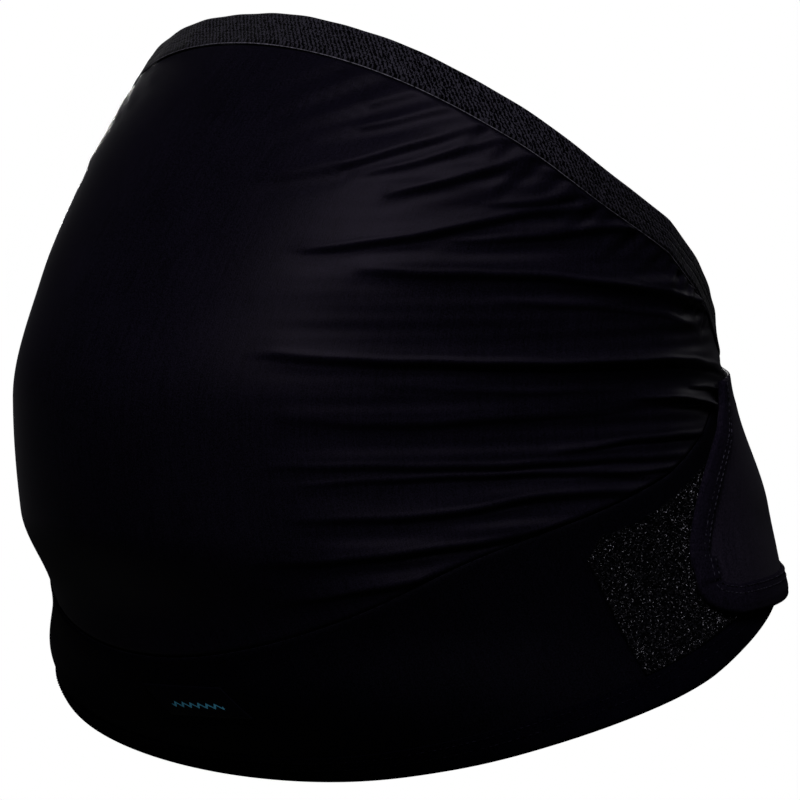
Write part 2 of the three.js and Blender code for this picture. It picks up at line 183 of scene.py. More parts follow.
def fold_lift(turn, height):
    """Sum over the folds of a swell that dies away above the crease's line, times a steep S-shaped step on
    the line, plus a narrow ridge above it and less a narrow bell below it, plus a wide bell above less one
    below. Each wavers a little and fades in and out along its line. The far hip's folds start later and
    are lower."""
    side = np.where(turn < 0, -turn - far_hip_delay, turn)
    lift = np.zeros(np.broadcast(turn, height).shape)
    for number, row in enumerate(fold_rows):
        fold = dict(zip(fold_names, row))
        share = np.clip((side - fold["start"]) / (fold["end"] - fold["start"]), 0, 1)
        levels = [fold["level_1"], fold["level_2"], fold["level_3"], fold["level_4"]]
        line = belt_height * table_curve([0, 1 / 3, 2 / 3, 1], levels, share)
        slow = np.sin(0.21 * turn + 1.7 * number)
        quick = np.sin(0.57 * turn + 0.9 * number)
        line = line + fold_waver * (slow + 0.5 * quick)
        away = (height - line) / (0.001 * fold["width"])
        step = 1 / (1 + np.exp(np.clip(-(away - drop_share) / (0.35 * drop_share), -60, 60)))
        swell = np.exp(-np.clip(away, 0, 9) / 0.5) * step
        dip = fold["dip"] * np.exp(-np.square((away + 0.03) / 0.10)) * np.sin(np.pi * share)
        roll = np.exp(-np.square((away - 0.5) / 0.5)) - np.exp(-np.square((away + 0.4) / 0.5))
        ridge = 0.35 * np.exp(-np.square((away - 0.32) / 0.13))
        fade = np.sin(np.pi * share ** 0.85) ** 0.75
        lift += 0.001 * fold["rise"] * fade * (swell + ridge - dip + fold["roll"] * roll)
    return lift * np.where(turn < 0, far_hip_share, 1)


def ripple_lift(turn, level):
    """Faint long ripples between the folds: a sum of waves that are short up the cloth and long round it,
    growing from the front towards the hips."""
    waves = ((0.031, 150, 0.4), (-0.043, 205, 2.1), (0.052, 262, 4.0), (-0.024, 331, 1.2), (0.067, 118, 5.1))
    hips = np.clip((np.abs(turn) - 30) / 50, 0, 1)
    sway = sum(np.sin(across * turn + up * level + start) for across, up, start in waves)
    return ripple_depth * hips * sway


def smooth_step(share):
    """Goes from 0 to 1 as the share does and is level at both ends: three squares less two cubes."""
    share = np.clip(share, 0, 1)
    return share * share * (3 - 2 * share)


def hip_press(turn, height):
    """Behind the hips the panel and the elastic are pressed in above the wings, by a smooth step of the turn
    times one of the level."""
    first_turn, last_turn = hip_press_turns
    first_level, last_level = hip_press_levels
    behind = smooth_step((np.abs(turn) - first_turn) / (last_turn - first_turn))
    above = smooth_step((height / belt_height - first_level) / (last_level - first_level))
    return -hip_press_depth * behind * above


def panel_lift(turn, height):
    """Folds, ripples, short creases that lean down and forward from the elastic, and an edge that rolls
    in by a quarter circle at both seams, to lie behind the band and the elastic."""
    seam = edge_height(turn, "seam")
    foot = elastic_foot(turn)
    from_elastic = foot - height
    lean = np.abs(turn) + from_elastic * pucker_lean
    pucker = np.zeros(np.broadcast(turn, height).shape)
    for start, length, depth in pucker_rows:
        reach = np.clip(1 - from_elastic / (0.001 * length), 0, 1) ** 0.7
        bell = np.exp(-np.square((lean - start) / pucker_width))
        beside = np.exp(-np.square((lean - start + 1.6 * pucker_width) / pucker_width))
        pucker += 0.001 * depth * reach * (0.8 * beside - bell)
    pucker *= np.where(turn < 0, far_hip_share, 1)
    from_edge = np.minimum(height - seam, from_elastic)
    rolled = np.clip(from_edge / seam_roll, 0, 1)
    lift = fold_lift(turn, height) + ripple_lift(turn, height / belt_height) + pucker
    rolled_in = seam_drop * (1 - np.sqrt(1 - (1 - rolled) ** 2))
    return lift * rolled - rolled_in + hip_press(turn, height)


def grid_faces(rows, columns, closed_rows):
    """Four corners of each square of a grid stored row by row, the last row joined to the first if asked."""
    row = np.arange(rows if closed_rows else rows - 1)[:, None]
    column = np.arange(columns - 1)[None, :]
    next_row = (row + 1) % rows
    corners = [row * columns + column, row * columns + column + 1,
               next_row * columns + column + 1, next_row * columns + column]
    return np.stack(np.broadcast_arrays(*corners), -1).reshape(-1, 4)


def end_caps(rows, columns):
    """The two flat caps of a grid whose last row joins its first: its first column, and its last one in
    reverse."""
    first = [k * columns for k in range(rows)]
    last = [k * columns + columns - 1 for k in reversed(range(rows))]
    return first, last


def make_mesh(name, points, faces, caps=(), cloth_places=None, sharp_degrees=60):
    """A mesh from points, four-cornered faces and end caps, with the place on the cloth as its UV map,
    in metres, and its faces turned outwards by the sign of its volume."""
    a, b, c, d = (points[faces[:, k]] for k in range(4))
    volume = np.einsum("ij,ij->", a, np.cross(b, c)) + np.einsum("ij,ij->", a, np.cross(c, d))
    if volume < 0:
        faces = faces[:, ::-1]
    loops = [tuple(face) for face in faces.tolist()]
    for cap in caps:
        loops.append(tuple(cap))
    mesh = bpy.data.meshes.new(name)
    mesh.from_pydata(points.tolist(), [], loops)
    if cloth_places is not None:
        corner = np.empty(len(mesh.loops), np.int32)
        mesh.loops.foreach_get("vertex_index", corner)
        uv = mesh.uv_layers.new(name="cloth")
        uv.data.foreach_set("uv", cloth_places[corner].astype(np.float32).ravel())
    mesh.validate()
    mesh.update()
    mesh.shade_smooth()
    mesh.set_sharp_from_angle(angle=math.radians(sharp_degrees))
    piece = bpy.data.objects.new(name, mesh)
    bpy.context.scene.collection.objects.link(piece)
    return piece


def rounded_section(rows, back_rows, inner, outer, corner_steps=3):
    """Closed section of a cloth: shares from 0 to 1 on its outer face, a half circle over that edge,
    back on its inner face, and a half circle over the other edge."""
    share = np.linspace(0, 1, rows + 1)
    back = np.linspace(1, 0, back_rows + 1)
    bend = np.pi * np.arange(1, corner_steps + 1) / (corner_steps + 1)
    middle, radius = (inner + outer) / 2, (outer - inner) / 2
    shares = np.concatenate([share, np.ones(corner_steps), back, np.zeros(corner_steps)])
    beyond = np.concatenate([0 * share, radius * np.sin(bend), 0 * back, -radius * np.sin(bend)])
    over, under = middle + radius * np.cos(bend), middle - radius * np.cos(bend)
    offsets = np.concatenate([0 * share + outer, over, 0 * back + inner, under])
    return shares, beyond, offsets


def cloth_lengths(points):
    """Place on the cloth in metres: the length walked along the middle of each row and up the columns."""
    across = np.linalg.norm(np.diff(points, axis=1), axis=-1)
    up = np.linalg.norm(np.diff(points, axis=0), axis=-1)
    walked = np.cumsum(np.concatenate([[0], across.mean(0)]))
    climbed = np.concatenate([np.zeros((1, points.shape[1])), np.cumsum(up, 0)])
    return np.stack([np.broadcast_to(walked, climbed.shape), climbed], -1)


def cloth_piece(name, place, columns, rows, inner, outer, back_rows=None):
    """A cloth on the body: place(u, v) gives the turn, height and lift of each point of the grid, and the
    rounded section carries it round both faces. Flat caps close its two ends. Columns may be a count,
    spread evenly, or the list of their shares."""
    shares, beyond, offsets = rounded_section(rows, back_rows or rows, inner, outer)
    across = np.linspace(0, 1, columns + 1) if np.isscalar(columns) else columns
    u, v = np.meshgrid(across, shares)
    turn, height, lift = place(u, v)
    points = cloth_point(turn, height + beyond[:, None], offsets[:, None] + lift)
    face = cloth_lengths(points[: rows + 1])
    nearest = np.rint(shares * rows).astype(int)
    places = face[nearest].reshape(-1, 2)
    count, width = len(shares), len(across)
    faces = grid_faces(count, width, True)
    return make_mesh(name, points.reshape(-1, 3), faces, end_caps(count, width), places)


def wrap_turn(u):
    """Turn at a share of the way from the right wing's end to the left one's."""
    return wing_end * (2 * u - 1)


def panel_place(u, v):
    """Belly panel: from a little below the seam to a little above the elastic's foot."""
    turn = wrap_turn(u)
    low = edge_height(turn, "seam") - seam_tuck
    high = elastic_foot(turn) + seam_tuck
    height = low + (high - low) * v
    return turn, height, panel_lift(turn, height)


# Columns stand close together on the hips, where the folds are, and wider at the front.
panel_turns = np.concatenate([
    np.arange(-wing_end, -34, 1.0), np.arange(-34, 34, 2.0), np.arange(34, wing_end + 1, 0.8)])
panel_turns[-1] = wing_end
panel_columns = (panel_turns / wing_end + 1) / 2
belly_panel = cloth_piece(
    "belly_panel_cloth", panel_place, panel_columns, 270, 0, panel_thickness, back_rows=50)


def add_node(tree, kind, inputs=None, **settings):
    """Adds one node, sets its options, and fills its sockets with values or links."""
    made = tree.nodes.new(kind)
    for option, value in settings.items():
        setattr(made, option, value)
    for socket, value in (inputs or {}).items():
        if isinstance(value, bpy.types.NodeSocket):
            tree.links.new(value, made.inputs[socket])
        else:
            made.inputs[socket].default_value = value
    return made


def worked_out(tree, operation, *values):
    """Output of one math node on values or links."""
    return add_node(tree, "ShaderNodeMath", dict(enumerate(values)), operation=operation).outputs[0]


def start_material(name):
    """A new material, with its node tree and its shader."""
    material = bpy.data.materials.new(name)
    material.use_nodes = True
    tree = material.node_tree
    return material, tree, tree.nodes["Principled BSDF"]


def colour_by(tree, shader, share, dark_at, dark, light_at, light):
    """Takes the shader's colour from dark to light as a share goes from one value to another."""
    ramp = add_node(tree, "ShaderNodeValToRGB", {"Fac": share})
    ramp.color_ramp.elements[0].position = dark_at
    ramp.color_ramp.elements[0].color = (*dark, 1)
    ramp.color_ramp.elements[1].position = light_at
    ramp.color_ramp.elements[1].color = (*light, 1)
    tree.links.new(ramp.outputs["Color"], shader.inputs["Base Color"])


def bump_by(tree, shader, height, strength, distance):
    """Raises a bump on the shader by a height from 0 to 1, times a distance in metres."""
    bump = add_node(tree, "ShaderNodeBump", {"Height": height, "Strength": strength, "Distance": distance})
    tree.links.new(bump.outputs["Normal"], shader.inputs["Normal"])


def cloth_material(name, dark, light, rib_pitch, rib_depth, grain, roughness, sheen, gloss):
    """A cloth whose colour goes from dark to light with a fine grain, a slow cloudiness and faint upright
    streaks, with ribs of a pitch in metres across its UV map raised as a bump."""
    material, tree, shader = start_material(name)
    place = add_node(tree, "ShaderNodeUVMap", uv_map="cloth").outputs["UV"]
    solid = add_node(tree, "ShaderNodeTexCoord").outputs["Object"]
    fine = add_node(
        tree, "ShaderNodeTexNoise", {"Vector": solid, "Scale": 1 / grain, "Detail": 2.0, "Roughness": 0.7})
    slow = add_node(
        tree, "ShaderNodeTexNoise", {"Vector": solid, "Scale": 22.0, "Detail": 3.0, "Roughness": 0.6})
    ribs = add_node(
        tree, "ShaderNodeTexWave", {"Vector": place, "Scale": math.tau / rib_pitch / 20, "Distortion": 0.6,
                                    "Detail": 1.0, "Detail Scale": 3.0},
        wave_type="BANDS", bands_direction="X")
    stretched = add_node(tree, "ShaderNodeMapping", {"Vector": place, "Scale": (1.0, 0.04, 1.0)})
    streaks = add_node(
        tree, "ShaderNodeTexNoise", {"Vector": stretched.outputs[0], "Scale": 900.0, "Detail": 1.0})
    speck = worked_out(tree, "MULTIPLY", fine.outputs["Fac"], 0.74)
    cloud = worked_out(tree, "MULTIPLY_ADD", slow.outputs["Fac"], 0.14, speck)
    streaked = worked_out(tree, "MULTIPLY_ADD", streaks.outputs["Fac"], 0.12, cloud)
    colour_by(tree, shader, streaked, 0.38, dark, 0.62, light)
    relief = worked_out(tree, "MULTIPLY_ADD", ribs.outputs["Fac"], 0.15, fine.outputs["Fac"])
    bump_by(tree, shader, relief, 0.5, rib_depth)
    shader.inputs["Roughness"].default_value = roughness
    shader.inputs["Specular IOR Level"].default_value = gloss
    shader.inputs["Specular Tint"].default_value = (0.84, 0.72, 1.0, 1)
    shader.inputs["Sheen Weight"].default_value = sheen
    shader.inputs["Sheen Roughness"].default_value = 0.35
    shader.inputs["Sheen Tint"].default_value = (0.86, 0.84, 0.95, 1)
    return material


stretch_knit = cloth_material(
    "stretch_knit", dark=(0.0001, 0.0001, 0.0003), light=(0.0019, 0.0015, 0.0034),
    rib_pitch=0.0011, rib_depth=0.00010, grain=0.0005, roughness=0.43, sheen=0.009, gloss=0.016)
belly_panel.data.materials.append(stretch_knit)
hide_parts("belly_panel")
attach(belly_panel, "root")

# Top elastic
# A narrow woven elastic, sewn along the upper rim of the belly panel while stretched.
# Fine ribs run along it and a twill shows between them.
elastic_thickness = 0.0022
rib_count = 11
elastic_rib = 0.00010
elastic_groove = 0.00025
groove_shares = (0.36, 0.64)
groove_width = 0.035
bead_radius = 0.00016
bead_sides = 8
bead_steps = 400


def elastic_place(u, v):
    """Elastic: from just above its foot to the rim, raised by an even row of ribs along it, with two
    grooves between them."""
    turn = wrap_turn(u)
    low = elastic_foot(turn) + 0.0008
    high = edge_height(turn, "rim") - elastic_thickness / 2
    ripple = 0.0003 * np.sin(turn * 0.21) + 0.00015 * np.sin(turn * 0.63 + 1)
    grooves = sum(np.exp(-np.square((v - at) / groove_width)) for at in groove_shares)
    height = low + (high - low) * v
    ribs = elastic_rib * np.abs(np.sin(np.pi * rib_count * v))
    return turn, height, ribs - elastic_groove * grooves + ripple + hip_press(turn, height)


top_elastic = cloth_piece("top_elastic_band", elastic_place, 360, 42, 0, elastic_thickness)


def twill_material(name, dark, light, pitch):
    """Woven elastic: diagonal lines at a pitch in metres on the UV map, broken by noise, over fine ribs."""
    material, tree, shader = start_material(name)
    place = add_node(tree, "ShaderNodeUVMap", uv_map="cloth").outputs["UV"]
    twill = add_node(
        tree, "ShaderNodeTexWave", {"Vector": place, "Scale": math.tau / pitch / 20, "Distortion": 7.0,
                                    "Detail": 2.0, "Detail Scale": 3.0, "Detail Roughness": 0.7},
        wave_type="BANDS", bands_direction="DIAGONAL")
    grain = add_node(tree, "ShaderNodeTexNoise", {"Vector": place, "Scale": 1500.0, "Detail": 1.0})
    both = worked_out(tree, "MULTIPLY", twill.outputs["Fac"], grain.outputs["Fac"])
    colour_by(tree, shader, both, 0.24, dark, 0.38, light)
    bump_by(tree, shader, both, 0.7, 0.0003)
    shader.inputs["Roughness"].default_value = 0.55
    shader.inputs["Specular IOR Level"].default_value = 0.0
    shader.inputs["Sheen Weight"].default_value = 0.03
    shader.inputs["Sheen Roughness"].default_value = 0.4
    return material


elastic_twill = twill_material(
    "elastic_twill", dark=(0.0001, 0.0001, 0.0002), light=(0.0092, 0.0084, 0.0123), pitch=0.0013)
top_elastic.data.materials.append(elastic_twill)
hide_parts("top_elastic")
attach(top_elastic, "root")


def edge_bead(name, middle_at, material):
    """A fine round bead along an edge: a circle of a few points carried round the turns, about the height
    and offset of its middle."""
    around = math.tau * np.arange(bead_sides) / bead_sides
    turn, angle = np.meshgrid(np.linspace(-wing_end + 1, wing_end - 1, bead_steps + 1), around)
    height, offset = middle_at(turn)
    points = cloth_point(turn, height + bead_radius * np.sin(angle), offset + bead_radius * np.cos(angle))
    faces = grid_faces(bead_sides, bead_steps + 1, True)
    piece = make_mesh(name, points.reshape(-1, 3), faces, end_caps(bead_sides, bead_steps + 1))
    piece.data.materials.append(material)
    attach(piece, "root")


def thread_material(name, colour, dark_share=0.40, bright_share=0.66, scale=700.0):
    """Thread: noise of a scale takes its colour from a twentieth to nearly twice. The two shares of the
    noise where it is darkest and brightest set how many bright spots there are; on the loops' wire
    these are painted glints."""
    material, tree, shader = start_material(name)
    solid = add_node(tree, "ShaderNodeTexCoord").outputs["Object"]
    noise = add_node(tree, "ShaderNodeTexNoise", {"Vector": solid, "Scale": scale})
    dark, bright = ([times * part for part in colour] for times in (0.05, 1.8))
    colour_by(tree, shader, noise.outputs["Fac"], dark_share, dark, bright_share, bright)
    shader.inputs["Roughness"].default_value = 0.45
    shader.inputs["Specular IOR Level"].default_value = 0.0
    return material


# The elastic's lower edge is a fine pale cord, set off by the dark groove above it. Its pale
# colour is a painted highlight: the light caught by the panel's rolled edge just below the elastic.
rolled_edge_highlight = thread_material("rolled_edge_highlight", (0.030, 0.028, 0.036), dark_share=0.25)


def cord_middle(turn):
    """Middle of the cord: just below the elastic's foot and pressed in with it."""
    foot = elastic_foot(turn)
    return foot - 0.0005, 0.0020 + hip_press(turn, foot)


edge_bead("elastic_edge_cord", cord_middle, rolled_edge_highlight)

# Front band
# A doubled, brushed cloth band that lies under the belly. At each hip it rises into a
# wing, which carries the loop patch and runs on under the tab of the back band.
band_thickness = 0.002
tape_thickness = 0.0008
tape_gap = 0.0001
hem_tape_width = 0.0115
band_wave = 0.0004


def band_place(u, v):
    """Front band: from inside its hem tape up to the seam, with a slight slow wave."""
    turn = wrap_turn(u)
    low = edge_height(turn, "hem") + tape_thickness + cloth_gap
    high = edge_height(turn, "seam") - cloth_gap / 2 - band_thickness / 2
    height = low + (high - low) * v
    wave = band_wave * np.sin(turn * 0.09 + 9 * v) * np.sin(np.pi * v)
    return turn, height, wave


front_band = cloth_piece("front_band_cloth", band_place, 300, 48, 0, band_thickness, back_rows=16)
# Its colour is kept far darker than the back band's cloth: painted shade for the shadow under the belly.
front_cloth_painted_shade = cloth_material(
    "front_cloth_painted_shade", dark=(0.0001, 0.0001, 0.0002), light=(0.0008, 0.0007, 0.0015),
    rib_pitch=0.0014, rib_depth=0.00008, grain=0.0006, roughness=0.55, sheen=0.004, gloss=0.002)
front_band.data.materials.append(front_cloth_painted_shade)
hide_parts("front_band")
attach(front_band, "root")

# Its upper edge is overlocked: a fine cord of thread shows all along the seam.
overlock = thread_material("overlock", (0.0016, 0.0014, 0.0026), dark_share=0.25)


def overlock_middle(turn):
    """Middle of the overlocked edge: just below the seam."""
    return edge_height(turn, "seam") - 0.0003, 0.0014 + 0 * turn


edge_bead("seam_overlock", overlock_middle, overlock)

# Front hem tape
# A tape folded round the lower edge of the front band and its wings, and sewn through
# with two rows of stitches just below its upper edge.
stitch_pitch = 0.0030
stitch_length = 0.0021
stitch_width = 0.00055
stitch_stations = (-0.98, -0.6, 0.0, 0.6, 0.98)
stitch_sides = 6
hem_stitch_lines = (0.0095, 0.0062)
hem_puff = 0.00015


def tape_section(width, inner, outer, puff, steps=8, bend_steps=10):
    """Section of a folded tape: distance in from the edge and offset from the body. It runs down its
    outer leg, raised by a low arch, round a half circle at the fold and up its inner leg, then back."""
    radius = (outer - inner) / 2 + tape_thickness + tape_gap
    middle = (inner + outer) / 2
    share = np.linspace(1, 0, steps + 1)
    leg = radius + (width - radius) * share
    bend = np.linspace(0, np.pi, bend_steps + 1)[1:-1]
    arch = puff * np.clip(6 * share * (1 - share), 0, 1)
    small = radius - tape_thickness
    distances = [leg, radius - radius * np.sin(bend), leg[::-1],
                 leg, radius - small * np.sin(bend[::-1]), leg[::-1]]
    offsets = [middle + radius + arch, middle + radius * np.cos(bend), middle - radius + 0 * leg,
               middle - small + 0 * leg, middle + small * np.cos(bend[::-1]), middle + small + arch[::-1]]
    return np.concatenate(distances), np.concatenate(offsets)


def tape_piece(name, inset, steps, width, inner, outer, puff):
    """A folded tape carried along an edge: inset(share, distance) gives the turn, height and lift of the
    point that lies a distance in from the edge."""
    distances, offsets = tape_section(width, inner, outer, puff)
    share, distance = np.meshgrid(np.linspace(0, 1, steps + 1), distances)
    turn, height, lift = inset(share, distance)
    points = cloth_point(turn, height, offsets[:, None] + lift)
    places = cloth_lengths(points).reshape(-1, 2)
    size = len(distances), steps + 1
    return make_mesh(name, points.reshape(-1, 3), grid_faces(*size, True), end_caps(*size), places, 70)


def hem_inset(share, distance):
    """Point above the front hem: the hem's height plus the distance."""
    turn = wrap_turn(share)
    return turn, edge_height(turn, "hem") + distance, 0 * turn


hem_tape = tape_piece("front_hem_tape", hem_inset, 360, hem_tape_width, 0, band_thickness, hem_puff)
# The hem tape's colour is far darker than the tape on the tabs: painted shade under the belly.
hem_tape_painted_shade = cloth_material(
    "hem_tape_painted_shade", dark=(0.0001, 0.0001, 0.0003), light=(0.0006, 0.0005, 0.0013),
    rib_pitch=0.0009, rib_depth=0.00008, grain=0.0006, roughness=0.55, sheen=0.006, gloss=0.0)
hem_tape.data.materials.append(hem_tape_painted_shade)
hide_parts("front_hem_binding")
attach(hem_tape, "root")


def stitch_places(path, distance, offset, samples=4000):
    """Places at an even pitch along an inset path: their point, their way along and their way out."""
    share = np.linspace(0, 1, samples)
    turn, height, lift = path(share, distance + 0 * share)
    line = cloth_point(turn, height, offset + lift)
    walked = np.concatenate([[0], np.cumsum(np.linalg.norm(np.diff(line, axis=0), axis=1))])
    stops = np.arange(stitch_pitch / 2, walked[-1], stitch_pitch)
    middle = np.stack([np.interp(stops, walked, line[:, k]) for k in range(3)], -1)
    ahead = np.stack([np.interp(stops + 0.0005, walked, line[:, k]) for k in range(3)], -1) - middle
    above = cloth_point(turn, height, offset + lift + 0.001) - line
    outward = np.stack([np.interp(stops, walked, above[:, k]) for k in range(3)], -1)
    return middle, ahead, outward


def small_tubes(name, points, stations, sides):
    """Many short tubes as one mesh: each has its rings of corners in turn, and a flat cap at either end."""
    corners = np.arange(stations * sides).reshape(stations, sides)
    squares = corners.T.reshape(-1)[grid_faces(sides, stations, True)]
    count = points.size // (3 * corners.size)
    starts = corners.size * np.arange(count)[:, None, None]
    faces = (squares[None] + starts).reshape(-1, 4)
    caps = np.concatenate([corners[0][None] + starts[:, 0], corners[-1][::-1][None] + starts[:, 0]])
    return make_mesh(name, points.reshape(-1, 3), faces, caps.tolist())


def stitch_piece(name, rows, material):
    """Stitches of several rows as one mesh: each is a small grain, an ellipsoid of rings, laid along the
    row's line and sunk by half its height."""
    ring_turns = np.linspace(0, math.tau, stitch_sides + 1)[:-1]
    stations = np.array(stitch_stations)
    radius = np.sqrt(1 - stations ** 2)
    grain = np.stack([np.broadcast_to(stations[:, None] * stitch_length / 2, (len(stations), stitch_sides)),
                      radius[:, None] * np.cos(ring_turns) * stitch_width / 2,
                      radius[:, None] * np.sin(ring_turns) * stitch_width / 2], -1).reshape(-1, 3)
    middle, ahead, outward = (np.concatenate(part) for part in zip(*rows))
    ahead /= np.linalg.norm(ahead, axis=1, keepdims=True)
    across = np.cross(outward, ahead)
    across /= np.linalg.norm(across, axis=1, keepdims=True)
    upward = np.cross(ahead, across)
    points = (middle[:, None] + grain[None, :, :1] * ahead[:, None] + grain[None, :, 1:2] * across[:, None]
              + grain[None, :, 2:] * upward[:, None])
    piece = small_tubes(name, points, len(stations), stitch_sides)
    piece.data.materials.append(material)
    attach(piece, "root")


black_thread = thread_material("black_thread", (0.0012, 0.0010, 0.0020))
tape_outer = band_thickness + tape_gap + tape_thickness
hem_rows = [stitch_places(hem_inset, line, tape_outer + hem_puff) for line in hem_stitch_lines]
stitch_piece("front_hem_stitches", hem_rows, black_thread)

# Loop patches
# A patch of loop fastener is sewn on the outside of each wing, its upper front corner cut
# off and its edges a little ragged. Its fine loops have pale spots in their colour: painted
# glints, where the loops would catch the light as specks.
patch_thickness = 0.001
patch_start = 76
patch_lean = 1.6
patch_end = 126
patch_corner = 0.008
patch_inner = band_thickness + cloth_gap
patch_rows = {
    "turn": [70, 78, 97, 110, 126],
    "top": [0.168, 0.179, 0.248, 0.283, 0.305],
}
loop_count = 7000
loop_span = 0.0009
loop_wire = 0.00018
loop_rise = 0.7
loop_stations = 5
loop_corners = 3
patch_ragged = 0.0005
patch_ripple = 0.00012


def turn_per_metre(turn, height):
    """Degrees of turn that make one metre of cloth at a place."""
    return 1 / np.linalg.norm(body_point(turn + 0.5, height) - body_point(turn - 0.5, height), axis=-1)


def patch_place(u, v, side):
    """Patch: from the hem tape up to its top edge, its front edge leaning forward towards the top, with one
    corner cut and an uneven outline."""
    first = patch_start - patch_lean * v
    turn = first + (patch_end - first) * u
    low = edge_height(turn, "hem") + hem_tape_width + cloth_gap
    in_from_start = (turn - first) / turn_per_metre(turn, low)
    top = belt_height * table_curve(patch_rows["turn"], patch_rows["top"], turn)
    high = top - np.maximum(0, patch_corner - in_from_start)
    ragged = patch_ragged * np.sin(37 * v + 5) * np.sin(91 * v)
    high = high + patch_ragged * np.sin(61 * u) * np.sin(143 * u + 2)
    height = low + (high - low) * v
    turn = turn + ragged * (1 - u) * turn_per_metre(turn, height)
    return side * turn, height, patch_ripple * np.sin(160 * u) * np.sin(140 * v)


def fastener_material(name, dark, light):
    """Ground of a loop or hook fastener: near black, with small painted glints where a cell's random
    value is high."""
    material, tree, shader = start_material(name)
    solid = add_node(tree, "ShaderNodeTexCoord").outputs["Object"]
    cells = add_node(tree, "ShaderNodeTexVoronoi", {"Vector": solid, "Scale": 1300.0})
    colour_by(tree, shader, cells.outputs["Color"], 0.62, dark, 0.95, light)
    bump_by(tree, shader, cells.outputs["Distance"], 0.8, 0.0006)
    shader.inputs["Roughness"].default_value = 0.8
    shader.inputs["Specular IOR Level"].default_value = 0.003
    return material


def loop_piece(name, side, material, seed):
    """Loops scattered over a patch: each is half a ring of thin wire, a few rings of three corners, standing
    on the patch at a random turn."""
    chance = np.random.default_rng(seed)
    u, v, spin, size, tip = chance.random((5, loop_count))
    turn, height, lift = patch_place(u, v, side)
    foot = cloth_point(turn, height, patch_inner + patch_thickness + lift)
    outward = cloth_point(turn, height, patch_inner + patch_thickness + lift + 0.001) - foot
    outward /= np.linalg.norm(outward, axis=1, keepdims=True)
    along = np.cross(outward, [0, 0, 1])
    along /= np.linalg.norm(along, axis=1, keepdims=True)
    upright = np.cross(along, outward)
    way = np.cos(math.tau * spin)[:, None] * along + np.sin(math.tau * spin)[:, None] * upright
    sideways = np.cross(outward, way)
    bend = np.linspace(0, np.pi, loop_stations)[None, :, None]
    ring = math.tau * np.arange(loop_corners) / loop_corners
    reach = loop_span * (0.35 + 0.65 * size)[:, None, None]
    across = reach / 2 * np.cos(bend) + loop_wire / 2 * np.cos(ring) * np.cos(bend)
    rise = loop_rise * reach * np.sin(bend) + loop_wire / 2 * np.cos(ring) * np.sin(bend)
    aside = loop_wire / 2 * np.sin(ring)[None, None, :] + (tip[:, None, None] - 0.5) * rise
    points = (foot[:, None, None] + across[..., None] * way[:, None, None]
              + rise[..., None] * outward[:, None, None] + aside[..., None] * sideways[:, None, None])
    piece = small_tubes(name, points, loop_stations, loop_corners)
    piece.data.materials.append(material)
    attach(piece, "root")


loop_ground = fastener_material("loop_ground", dark=(0.0001, 0.0001, 0.0002), light=(0.003, 0.003, 0.004))
# The wire itself has no gloss; the pale spots of its colour are painted glints.
loop_wire_painted_glints = thread_material(
    "loop_wire", (0.12, 0.115, 0.135), dark_share=0.58, bright_share=0.68, scale=1500.0)
for hip, side, seed in (("left", 1, 3), ("right", -1, 8)):
    patch = cloth_piece(
        f"loop_patch_{hip}_ground", lambda u, v: patch_place(u, v, side), 120, 90,
        patch_inner, patch_inner + patch_thickness, back_rows=20)
    patch.data.materials.append(loop_ground)
    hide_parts(f"loop_patch_{hip}")
    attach(patch, "root")
    loop_piece(f"loop_patch_{hip}_loops", side, loop_wire_painted_glints, seed)

# Label
# A small woven label, sewn to the front band near the middle and a little tilted. Its
# satin face is plain but for a narrow woven row of chevrons.
label_width = 0.050
label_height = 0.016
label_upright_share = 0.75
label_thickness = 0.0006
label_turn = 8
label_level = -0.013
label_tilt = 2.5
label_curl = 0.0002
chevron_width = 0.0025
chevron_middle = 0.0058
chevron_thread = 0.0007
chevron_reach = 0.016


def label_place(u, v):
    """Label: a tilted oblong round its middle, with slightly raised corners. The band slopes there, so that
    only a share of the label's height is upright."""
    degrees = label_width * turn_per_metre(label_turn, label_level)
    turn = label_turn + degrees * (u - 0.5) - label_tilt * (v - 0.5)
    height = label_level + label_upright_share * label_height * (v - 0.5) + 0.001 * label_tilt * (u - 0.5)
    return turn, height, label_curl * (2 * u - 1) ** 2 * (2 * v - 1) ** 2


label = cloth_piece("label_cloth", label_place, 60, 20, patch_inner, patch_inner + label_thickness)


def chevron_material(name, ground, thread):
    """Satin ground with one row of woven chevrons: a zigzag line of the UV map, cut to the row's middle."""
    material, tree, shader = start_material(name)
    place = add_node(tree, "ShaderNodeUVMap", uv_map="cloth").outputs["UV"]
    apart = add_node(tree, "ShaderNodeSeparateXYZ", {0: place})
    zigzag = worked_out(tree, "PINGPONG", apart.outputs["X"], chevron_width)
    line = worked_out(tree, "SUBTRACT", apart.outputs["Y"], zigzag)
    from_line = worked_out(tree, "ABSOLUTE", worked_out(tree, "SUBTRACT", line, chevron_middle))
    near = worked_out(tree, "LESS_THAN", from_line, chevron_thread)
    along = worked_out(tree, "SUBTRACT", apart.outputs["X"], label_width / 2)
    from_middle = worked_out(tree, "ABSOLUTE", along)
    inside = worked_out(tree, "LESS_THAN", from_middle, chevron_reach)
    woven = worked_out(tree, "MULTIPLY", near, inside)
    colour_by(tree, shader, woven, 0.0, ground, 1.0, thread)
    weave = add_node(tree, "ShaderNodeTexNoise", {"Vector": place, "Scale": 2500.0})
    bump_by(tree, shader, weave.outputs["Fac"], 0.3, 0.0001)
    shader.inputs["Roughness"].default_value = 0.5
    shader.inputs["Specular IOR Level"].default_value = 0.006
    return material


label.data.materials.append(chevron_material("label_satin", (0.0008, 0.0007, 0.0016), (0.06, 0.26, 0.40)))
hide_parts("label")
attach(label, "root")

